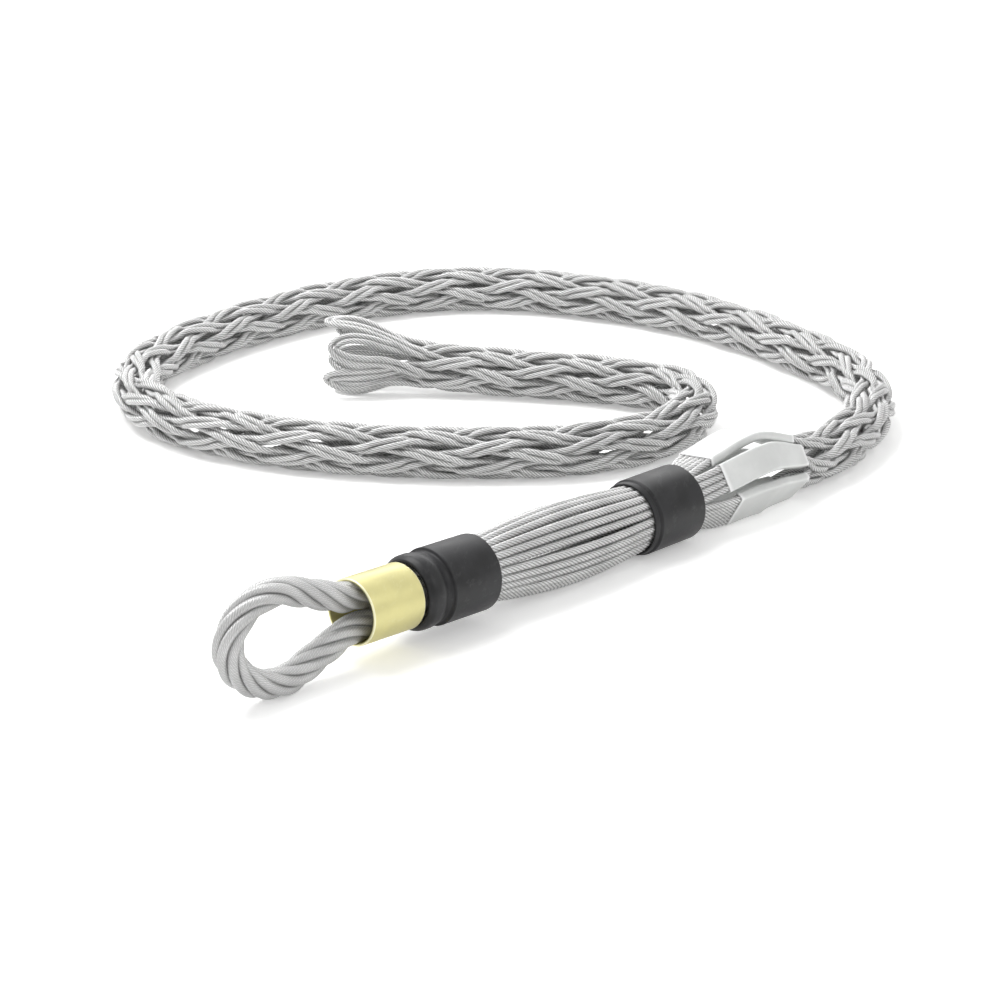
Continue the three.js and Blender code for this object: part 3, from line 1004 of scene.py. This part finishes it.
@dataclass
class Eye:
    """The wire rope eye: six strands of wires laid up round a core."""

    length: float = 63.7
    half_height: float = 17.7
    leg_offset: float = 6.4
    leg_end: float = 36.0
    roll: float = math.radians(8)
    strands: int = 6
    strand_ring: float = 4.12
    strand_lay: float = 76.0
    wander: float = 0.12
    wander_length: float = 17.0
    strand: RopeLay = RopeLay(radius=2.12, lobes=12, points_each=3, groove=0.22, lay=-18.0,
                              step=0.8)
    core: RopeLay = RopeLay(radius=2.0, lobes=6, points_each=2, groove=0.3, lay=20.0, step=2.0)

    def centreline(self) -> SmoothPath:
        """Draws the eye's outline in its own plane, as the frame has it.

        Returns:
            The outline.
        """
        half = [
            (self.leg_end, self.leg_offset), (AXIS.ferrule_length / 2, self.leg_offset),
            (-2.0, self.leg_offset + 0.5), (-0.29 * self.length, 0.69 * self.half_height),
            (-0.58 * self.length, self.half_height),
            (-0.81 * self.length, 0.86 * self.half_height),
            (-0.955 * self.length, 0.44 * self.half_height),
        ]
        outline = half + [(-self.length, 0.0)] + [(u, -v) for u, v in reversed(half)]
        return SmoothPath(np.array([(u - AXIS.front_collar_end, 0.0, v) for u, v in outline]))

    def placed(self, points: Points) -> Points:
        """Returns points of the eye's plane rolled and put in the frame."""
        place = np.array(AXIS.front_matrix() @ Matrix.Rotation(-self.roll, 4, "X"))
        return points @ place[:3, :3].T + place[:3, 3]

    def build(self, shop: Workshop) -> None:
        """Builds the strands and the core.

        Args:
            shop: the workshop that lays and places them.
        """
        path = self.centreline()
        count = round(path.length / self.strand.step)
        run = np.linspace(0, path.length, count + 1)
        centre, onward = path.at(run), path.heading_at(run)
        across = np.array([0.0, -1.0, 0.0])
        inward = np.cross(across, onward)
        for i in range(self.strands):
            laid = i / self.strands + run / self.strand_lay
            turn = (2 * np.pi * laid)[:, None]
            wave = np.sin(run / self.wander_length + 2.1 * i)[:, None]
            ring = self.strand_ring + self.wander * wave
            line = centre + ring * (inward * np.cos(turn) + across * np.sin(turn))
            shop.lay_rope(f"eye_strand_{i + 1}", Slot.EYE_ROPE, [self.placed(line)], self.strand)
        shop.lay_rope("eye_core", Slot.CORE, [self.placed(centre)], self.core)


# Sleeves and collars


@dataclass
class TurnedPiece:
    """A sleeve turned or moulded about the head's axis.

    Corners hold the section's distance along, radius and fillet. Ripples hold the share, the
    waves round and the length along of each slow wave that the wobble makes.
    """

    name: str
    node: str
    slot: Slot
    corners: list[tuple[float, float, float]]
    start: float
    rim_height: float = 0.0
    wobble: float = 0.0
    ripples: tuple[tuple[float, int, float], ...] = ((1.0, 3, 5.0), (0.6, 7, -3.0))
    sides: int = 160

    def build(self, shop: Workshop, place: Matrix) -> None:
        """Builds the sleeve.

        Args:
            shop: the workshop that places it.
            place: the matrix of the end that the profile is measured from.
        """
        outline = rounded(self.corners)
        turn = np.linspace(0, 2 * np.pi, self.sides, endpoint=False)
        rings = []
        for u, radius in outline:
            ripple = sum(share * np.sin(waves * turn + u / length)
                         for share, waves, length in self.ripples)
            reach = radius + self.wobble * ripple
            rings.append(np.column_stack([np.full(self.sides, u - self.start),
                                          reach * np.cos(turn), reach * np.sin(turn)]))
        points = np.vstack(rings)
        matrix = np.array(place)
        points = points @ matrix[:3, :3].T + matrix[:3, 3]
        count = len(outline)
        faces = [face for k in range(count)
                 for face in band(k * self.sides, ((k + 1) % count) * self.sides, self.sides)]
        piece = new_object(self.name, points, faces)
        mark_rim(piece, np.repeat(self._rim_share(outline), self.sides))
        shade_smooth(piece)
        piece.data.materials.append(shop.material(self.slot))
        shop.put(piece, self.slot, self.node)

    def _rim_share(self, outline: Points) -> Points:
        """Finds the outline's points at the sleeve's outer end edges.

        Args:
            outline: the section's points, along the axis and out from it.

        Returns:
            1 for each point of an edge and 0 for the others.
        """
        ends = outline[:, 0].min(), outline[:, 0].max()
        near = np.minimum(outline[:, 0] - ends[0], ends[1] - outline[:, 0])
        outer = outline[:, 1] > np.median(outline[:, 1])
        return np.where(outer & (near < self.rim_height), 1.0, 0.0)


@dataclass
class Head:
    """The ferrule, the two rubber collars and the crimp core."""

    ferrule_bore: float = 12.85
    ferrule_outer: float = 14.05
    nose_start: float = 30.0
    nose_bore: float = 13.05
    barrel_start: float = 43.2
    barrel_radius: float = 16.53
    bore: float = 14.13
    mouth_bore: float = 16.0

    def ferrule(self) -> TurnedPiece:
        """Draws the plated sleeve, with softly broken rims.

        Returns:
            The sleeve.
        """
        length = AXIS.ferrule_length
        corners = [(0.0, self.ferrule_bore, 0.5), (0.0, self.ferrule_outer, 0.6),
                   (length, self.ferrule_outer, 0.6), (length, self.ferrule_bore, 0.5)]
        return TurnedPiece("plated_ferrule", "ferrule", Slot.PLATED, corners,
                           AXIS.front_collar_end, 0.5, 0.04)

    def front_collar(self) -> TurnedPiece:
        """Draws the front collar: a swollen nose, a valley behind it and the barrel.

        Returns:
            The collar.
        """
        start, end = self.nose_start, AXIS.front_collar_end
        nose, barrel = self.barrel_radius - 0.5, self.barrel_radius
        corners = [
            (start, self.nose_bore, 0.5), (start, nose - 1.6, 1.2),
            (start + 2.2, nose - 0.1, 2.4), (start + 6.8, nose + 0.1, 3.0),
            (self.barrel_start - 3.0, nose - 1.1, 2.4), (self.barrel_start - 0.7, nose - 0.9, 0.9),
            (self.barrel_start - 0.1, barrel + 0.05, 0.5), (self.barrel_start + 1.4, barrel, 0.7),
            (end, barrel, 1.1), (end, self.bore, 0.5),
            (start + 6.3, self.bore, 0.4), (start + 5.3, self.nose_bore, 0.4),
        ]
        return TurnedPiece("moulded_front_collar", "front_collar", Slot.RUBBER, corners,
                           end, 0.0, 0.06)

    def rear_collar(self) -> TurnedPiece:
        """Draws the rear collar, with a bevelled mouth and a raised inner lip.

        Returns:
            The collar.
        """
        start, end = AXIS.rear_collar_start, AXIS.rear_collar_end
        radius = AXIS.collar_radius
        corners = [
            (start + 1.2, self.mouth_bore - 1.0, 0.6), (start - 0.9, self.mouth_bore - 0.6, 0.8),
            (start - 0.8, self.mouth_bore + 0.3, 0.7), (start + 1.2, self.mouth_bore + 0.5, 0.6),
            (start + 2.2, self.mouth_bore + 0.3, 0.5), (start + 2.9, radius + 0.05, 0.6),
            (start + 4.6, radius, 0.8), (end, radius, 1.2), (end, self.bore, 0.6),
            (start + AXIS.mouth_depth, self.bore, 2.0),
        ]
        return TurnedPiece("moulded_rear_collar", "rear_collar", Slot.RUBBER, corners,
                           end, 0.0, 0.05)

    def build(self, shop: Workshop) -> None:
        """Builds the ferrule and the collars, and dresses the hidden core.

        Args:
            shop: the workshop that lays and places them.
        """
        self.ferrule().build(shop, AXIS.front_matrix())
        self.front_collar().build(shop, AXIS.front_matrix())
        self.rear_collar().build(shop, AXIS.rear_matrix())
        shop.dress("crimp_core", Slot.CRIMP)


# Lead ropes and clips


def clip_row(index: int, u: float, aside: float = 0.0) -> Stations:
    """Finds a place along the middle of a clip, or one aside of it.

    Args:
        index: the clip's number.
        u: the distance along the grip.
        aside: how far along the clip's width.

    Returns:
        The place, as a single station.
    """
    clip = CLIPS.clips[index]
    _, rise = CLIPS.shape(u, clip.pairs)
    spot = AXIS.stations([u], CLIPS.angle(index), rise)
    turned = spot.twisted(clip.twist * float(np.interp(u, [CLIPS.bend, CLIPS.end], [1, 0])))
    return Stations(turned.moved(0.0, aside), turned.outward, turned.sideways)


@dataclass
class Bundle:
    """The 24 lead ropes that bulge between the collars and run on into the clips."""

    count: int = 2 * CLIPS.pairs
    ring: float = 12.33
    bulge: float = 4.2
    crimp_end: float = 45.6
    bulge_stops: int = 13
    rope: RopeLay = RopeLay(radius=1.86, lobes=6, points_each=2, groove=0.3, lay=13.0, step=1.3)

    def rope_line(self, number: int) -> Points:
        """Follows one lead rope from the crimp core to its clip.

        Args:
            number: the rope's number round the grip, from 0.

        Returns:
            Its centreline.
        """
        place = (number - 0.5) / 2
        index, from_middle = CLIPS.of_place(round(place))
        aside = 2 * (place - round(place) + from_middle) * CLIPS.row_pitch
        degrees = CLIPS.place_angle(place)
        end = AXIS.rear_collar_start + AXIS.mouth_depth
        points = [AXIS.stations([self.crimp_end], degrees, self.ring).points]
        share = np.linspace(0, 1, self.bulge_stops)
        u = AXIS.front_collar_end + share * (end - AXIS.front_collar_end)
        swell = np.sin(np.pi * share)
        points.append(AXIS.stations(u, degrees + self.drift(number) * swell, self.ring
                                    + (self.bulge - self.recess(number)) * swell).points)
        points.append(AXIS.stations([AXIS.rear_collar_end], degrees, self.ring).points)
        for u_clip in (CLIPS.start, CLIPS.bend - AXIS.fit_gap / 2):
            points.append(clip_row(index, u_clip, aside).points)
        return SmoothPath(np.vstack(points)).evenly(self.rope.step)

    @staticmethod
    def recess(number: int) -> float:
        """Returns how far a rope lies inside the bulge's outer ring."""
        depths = (0.0, 1.3, 0.1, 0.0, 1.6, 0.1, 0.3, 0.0, 0.9)
        return depths[number * 5 % len(depths)]

    @staticmethod
    def drift(number: int) -> float:
        """Returns how many degrees a rope leans towards its neighbour in the bulge."""
        return math.sin(2.3 * number) + 0.7 * math.cos(5.1 * number)

    def build(self, shop: Workshop) -> None:
        """Lays each lead rope in place of its node.

        Args:
            shop: the workshop that lays and places them.
        """
        for number in range(self.count):
            shop.lay_rope(f"lead_rope_{number + 1:02d}", Slot.THIN_ROPE,
                          [self.rope_line(number)], self.rope)


@dataclass
class Clips:
    """Clips of thin sheet, each folded flat round its row of ropes."""

    steps: int = 26
    bend_softness: float = 2.0
    bend_stops: int = 7
    fold_radius: float = 1.5
    crease: float = 0.25
    crease_length: float = 6.5

    def section(self, half_width: float, half_height: float, radius: float) -> Points:
        """Returns a rounded box outline as outward and sideways distances."""
        corners = [(half_height, -half_width, radius), (half_height, half_width, radius),
                   (-half_height, half_width, radius), (-half_height, -half_width, radius)]
        return rounded(corners, 5)

    def build(self, shop: Workshop) -> None:
        """Builds each clip in place of its node.

        Args:
            shop: the workshop that lays and places them.
        """
        for index, clip in enumerate(CLIPS.clips):
            points, faces, rim = self.sleeve(index)
            piece = new_object(f"folded_{clip.node}", points, faces)
            mark_rim(piece, rim)
            shade_smooth(piece, 40)
            piece.data.materials.append(shop.material(Slot.CLIP))
            shop.put(piece, Slot.CLIP, clip.node)

    def sleeve(self, index: int) -> tuple[Points, list[tuple[int, ...]], Points]:
        """Folds one clip.

        Args:
            index: the clip's number.

        Returns:
            Its corners, its faces, and each corner's rim share.
        """
        clip = CLIPS.clips[index]
        wall = CLIPS.wall
        outer, inner = [], []
        for u in np.linspace(CLIPS.start + clip.late, CLIPS.end, self.steps):
            half_width, lift = self.softened(float(u), clip.pairs)
            spot = clip_row(index, float(u))
            dent = self.crease * math.sin(u / self.crease_length + 1.9 * index)
            for rings, width, height, radius in (
                (outer, half_width + wall, CLIPS.half_height, self.fold_radius),
                (inner, half_width, CLIPS.cavity_half_height, self.fold_radius - wall),
            ):
                shape = self.section(width, height, radius)
                sag = lift + dent * np.cos(shape[:, 1] / width * math.pi / 2)
                rings.append(spot.points + np.outer(shape[:, 0] + sag, spot.outward[0])
                             + np.outer(shape[:, 1], spot.sideways[0]))
        count = len(outer[0])
        size = self.steps * count
        faces = []
        for k in range(self.steps - 1):
            faces += band(k * count, (k + 1) * count, count)
            faces += band(size + (k + 1) * count, size + k * count, count)
        faces += band(size, 0, count)
        faces += band(size - count, 2 * size - count, count)
        rim = np.zeros(2 * size)
        for k in (0, self.steps - 1):
            for base in (0, size):
                rim[base + k * count:base + (k + 1) * count] = 1.0
        return np.vstack(outer + inner), faces, rim

    def softened(self, u: float, pairs: int) -> tuple[float, float]:
        """Rounds a clip's bend.

        Args:
            u: the distance along the grip.
            pairs: how many pairs the clip takes.

        Returns:
            The half width at u, and how far the rounded bend lies off the sharp one.
        """
        reach = min(self.bend_softness, u - CLIPS.start, CLIPS.end - u)
        stops = np.linspace(u - reach, u + reach, self.bend_stops)
        shapes = np.array([CLIPS.shape(float(stop), pairs) for stop in stops])
        half_width, rise = shapes.mean(axis=0)
        return float(half_width), float(rise - CLIPS.shape(u, pairs)[1])


# The woven sock


@dataclass
class Sock:
    """The woven sock: pairs of ropes, half wound each way, that loop back at the tail."""

    doubled: int = CLIPS.pairs // 2
    radius: float = 9.6
    spacing: float = 23.7
    depth: float = 1.65
    rope_gap: float = 3.02
    least_spread: float = 0.62
    slow_sway: float = 1.6
    quick_sway: float = 1.1
    loop_reach: tuple[float, ...] = (41, 37, 40, 38, 42, 38)
    loop_flare: float = 9.2
    samples_each: int = 10
    samples_skipped: int = 4
    settling: float = 8.0
    rope: RopeLay = RopeLay(radius=1.6, lobes=6, points_each=2, groove=0.3, lay=13.0, step=1.35)
    first: float = field(init=False)
    last_crossing: int = field(init=False)
    pair_angle: float = field(init=False)
    lead: float = field(init=False)

    def __post_init__(self) -> None:
        """Works out where the crossings start, and how many the sock's length holds."""
        self.first = CLIPS.end + self.spacing / 2
        room = AXIS.rear_collar_end + AXIS.sock.length - self.first - max(self.loop_reach)
        self.last_crossing = math.floor(room / self.spacing)
        self.pair_angle = CLIPS.pair_angle
        self.lead = self.rope_gap / 2 / (2 * math.radians(self.pair_angle) * self.radius)

    def rise(self, crossing: Points, turn: int) -> Points:
        """Returns how far a rope lies outside the sock's middle radius."""
        wave = np.cos(np.pi * crossing)
        return self.depth * turn * np.sign(wave) * np.sqrt(np.abs(wave))

    def weave(self, place: int, turn: int) -> tuple[Stations, Points, Points]:
        """Follows one pair from its clip to the last crossing.

        Args:
            place: the pair's place round the grip.
            turn: 1 for a right-hand pair and -1 for a left-hand one.

        Returns:
            The stations at the sock's middle radius, and the outward and sideways distances of
            the leading and trailing ropes, a column each.
        """
        count = round(self.samples_each * (self.last_crossing + 0.5)) + 1
        crossing = np.linspace(-0.5, self.last_crossing, count)
        u = self.first + crossing * self.spacing
        loose = (self.slow_sway * np.sin(0.9 * crossing + 1.7 * place)
                 + self.quick_sway * np.sin(2.3 * crossing - place))
        angle = CLIPS.place_angle(place) + turn * self.pair_angle * (crossing + 0.5) + loose
        rows = AXIS.stations(u, angle, self.radius)
        leading = self.rise(crossing + self.lead, turn)
        trailing = self.rise(crossing - self.lead, turn)
        spread = np.sqrt(np.maximum(self.rope_gap ** 2 - (leading - trailing) ** 2,
                                    (self.least_spread * self.rope_gap) ** 2)) / 2
        out = np.column_stack([leading, trailing])
        aside = np.column_stack([spread, -spread]) * turn
        return rows, out, aside

    def clip_stop(self, place: int, u: float, side: int) -> Points:
        """Finds where one rope of a pair lies in its clip.

        Args:
            place: the pair's place round the grip.
            u: the distance along the grip.
            side: 1 or -1 for the rope's side of its pair.

        Returns:
            The point, as one row.
        """
        index, from_middle = CLIPS.of_place(place)
        pairs = CLIPS.clips[index].pairs
        half_width, _ = CLIPS.shape(u, pairs)
        pitch = (half_width - self.rope.radius) * 2 / (2 * pairs - 1)
        return clip_row(index, u, (2 * from_middle + side / 2) * pitch).points

    def leg(self, place: int, turn: int, leading: bool) -> Points:
        """Follows one rope from its clip to the last crossing.

        Args:
            place: its pair's place round the grip.
            turn: 1 for a right-hand pair and -1 for a left-hand one.
            leading: whether it is the leading rope of its pair.

        Returns:
            Its centreline's points.
        """
        rows, out, aside = self.weave(place, turn)
        column = 0 if leading else 1
        line = rows.moved(out[:, column], aside[:, column])
        side = turn if leading else -turn
        stops = [self.clip_stop(place, u, side)
                 for u in (CLIPS.bend + AXIS.fit_gap / 2, CLIPS.end - self.settling, CLIPS.end)]
        return np.vstack(stops + [line[self.samples_skipped:]])

    def loop(self, index: int, side: int) -> Points:
        """Follows one rope round its tail loop.

        Args:
            index: the doubled pair's number.
            side: 1 or -1 for the rope's side of its pair.

        Returns:
            Its centreline's points.
        """
        start = CLIPS.place_angle(2 * index) + (self.last_crossing + 0.5) * self.pair_angle
        half = [(0.3, 0.19, 0.45), (0.58, 0.19, 0.9), (0.8, 0.23, 1.0), (0.945, 0.34, 0.9)]
        stops = np.array(half + [(1.0, 0.5, 0.84)] + [(s, 1 - t, f) for s, t, f in half[::-1]])
        u = self.first + self.last_crossing * self.spacing + stops[:, 0] * self.loop_reach[index]
        rows = AXIS.stations(u, start + stops[:, 1] * 2 * self.pair_angle,
                             self.radius + stops[:, 2] * self.loop_flare)
        path = np.gradient(rows.points, axis=0)
        sideways = unit(np.cross(path, rows.outward))
        return rows.points + sideways * side * self.rope_gap / 2

    def rope_line(self, index: int, leading: bool) -> Points:
        """Follows one rope of a doubled pair down the sock, round its loop and back.

        Args:
            index: the doubled pair's number.
            leading: whether it is the leading rope of its pair.

        Returns:
            Its centreline.
        """
        there = 2 * index
        back = (there + 2 * self.last_crossing + 3) % CLIPS.pairs
        side = 1 if leading else -1
        points = np.vstack([self.leg(there, 1, leading), self.loop(index, side),
                            self.leg(back, -1, leading)[::-1]])
        return SmoothPath(points, steps=24).evenly(self.rope.step)

    def build(self, shop: Workshop) -> None:
        """Lays each doubled pair in place of its node.

        Args:
            shop: the workshop that lays and places them.
        """
        for index in range(self.doubled):
            lines = [self.rope_line(index, leading) for leading in (True, False)]
            shop.lay_rope(f"woven_pair_{index + 1}", Slot.THIN_ROPE, lines, self.rope)


# The studio


@dataclass(frozen=True)
class Softbox:
    """A soft rectangular light: its place and size in millimetres, and its power in watts."""

    name: str
    place: tuple[float, float, float]
    size: tuple[float, float]
    watts: float

    def hang(self) -> None:
        """Hangs the light so that it looks at the grip."""
        lamp = bpy.data.lights.new(self.name, "AREA")
        lamp.shape = "RECTANGLE"
        lamp.size, lamp.size_y = self.size[0] * MM, self.size[1] * MM
        lamp.energy = self.watts
        rig = linked(self.name, lamp)
        rig.location = Vector(self.place) * MM
        rig.rotation_euler = (-rig.location).to_track_quat("-Z", "Y").to_euler()


@dataclass
class Studio:
    """The pale floor, the soft lights and the camera at the photo's viewpoint."""

    camera_place: tuple[float, float, float] = (0.5, -1233.5, 433.0)
    camera_tilt: float = math.radians(70)
    lens: float = 97.92
    sensor: float = 36.0
    floor_half: float = 9000.0
    sky_strength: float = 0.62
    floor_glow: float = 0.3
    softboxes: tuple[Softbox, ...] = (
        Softbox("key_softbox", (-400, 100, 950), (700, 700), 9.0),
        Softbox("fill_softbox", (900, -500, 700), (500, 500), 1.4),
        Softbox("rim_softbox", (100, 1100, 700), (1200, 400), 4.0),
    )

    def build(self) -> None:
        """Builds the floor, the world, the lights and the camera."""
        self.floor()
        self.world()
        for softbox in self.softboxes:
            softbox.hang()
        self.camera()

    def floor(self) -> None:
        """Makes the floor, which the camera sees a little paler than the lights do."""
        half = self.floor_half
        corners = [(-half, -half, 0), (half, -half, 0), (half, half, 0), (-half, half, 0)]
        piece = new_object("studio_floor", np.array(corners), [(0, 1, 2, 3)])
        made, nodes, shader = new_material("pale floor")
        seen = self.seen_ray(nodes)
        nodes.feed(shader, {"Base Color": nodes.mix(seen, grey(0.8), grey(1.0)),
                            "Emission Color": nodes.mix(seen, grey(0.0), grey(self.floor_glow)),
                            "Emission Strength": 1.0, "Roughness": 1.0,
                            "Specular IOR Level": 0.0})
        piece.data.materials.append(made)

    def world(self) -> None:
        """Makes the sky: white to the camera, and softer as a light."""
        world = bpy.data.worlds.new("studio")
        world.use_nodes = True
        bpy.context.scene.world = world
        nodes = Nodes(world.node_tree)
        seen = self.seen_ray(nodes)
        strength = nodes.remap(seen, 0.0, 1.0, self.sky_strength, 1.0)
        nodes.feed(world.node_tree.nodes["Background"],
                   {"Strength": strength, "Color": (1.0, 1.0, 1.0, 1.0)})

    @staticmethod
    def seen_ray(nodes: Nodes) -> Socket:
        """Tells what the camera sees, straight, mirrored or through glass, from other light.

        Args:
            nodes: the builder of the tree to add to.

        Returns:
            A value that is 1 for what is seen.
        """
        rays = nodes.add("ShaderNodeLightPath").outputs
        mirrored = nodes.math("MAXIMUM", rays["Is Glossy Ray"], rays["Is Transmission Ray"])
        return nodes.math("MAXIMUM", rays["Is Camera Ray"], mirrored)

    def camera(self) -> None:
        """Sets the camera."""
        lens = bpy.data.cameras.new("photo_camera")
        lens.lens, lens.sensor_width = self.lens, self.sensor
        lens.clip_start, lens.clip_end = 0.01, 100.0
        rig = linked("photo_camera", lens)
        rig.location = Vector(self.camera_place) * MM
        rig.rotation_euler = (self.camera_tilt, 0.0, 0.0)
        bpy.context.scene.camera = rig


def main() -> None:
    """Builds the studio and the grip."""
    logging.basicConfig(level=logging.INFO, format="%(name)s: %(message)s")
    bpy.context.scene.view_settings.view_transform = "Standard"
    Studio().build()
    shop = Workshop()
    for assembly in (Eye(), Head(), Bundle(), Clips(), Sock()):
        assembly.build(shop)
    LOG.info("all pieces: %d triangles", shop.triangles)


if __name__ == "__main__":
    main()
